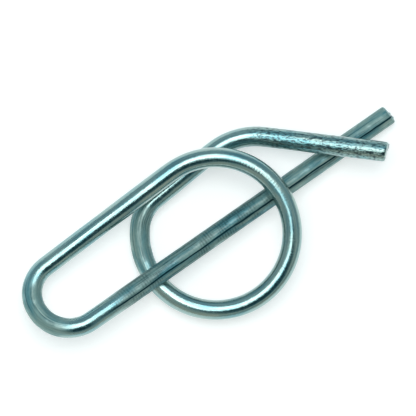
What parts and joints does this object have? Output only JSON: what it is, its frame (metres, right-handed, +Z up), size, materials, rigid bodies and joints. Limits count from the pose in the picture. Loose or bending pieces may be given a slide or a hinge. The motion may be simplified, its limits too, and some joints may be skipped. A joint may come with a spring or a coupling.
{
  "type": "rue ring cotter pin",
  "caption": "Quick-release cotter pin bent from one round spring wire: a straight leg, a hairpin, a snap ring that closes round the shaft, and a free arm across the leg.",
  "frame": {"origin": "centre of the outline, on the ground the pin lies on", "axes": "+X along the straight leg towards its tip, +Y from the straight leg towards the return leg, +Z up"},
  "size_m": [0.0518, 0.0212, 0.0066],
  "materials": {
    "plated_wire": "bright blue-tinted zinc plating over drawn spring wire"
  },
  "bodies": {
    "root": {"ring_cotter_pin": "plated_wire"}
  },
  "joints": []
}
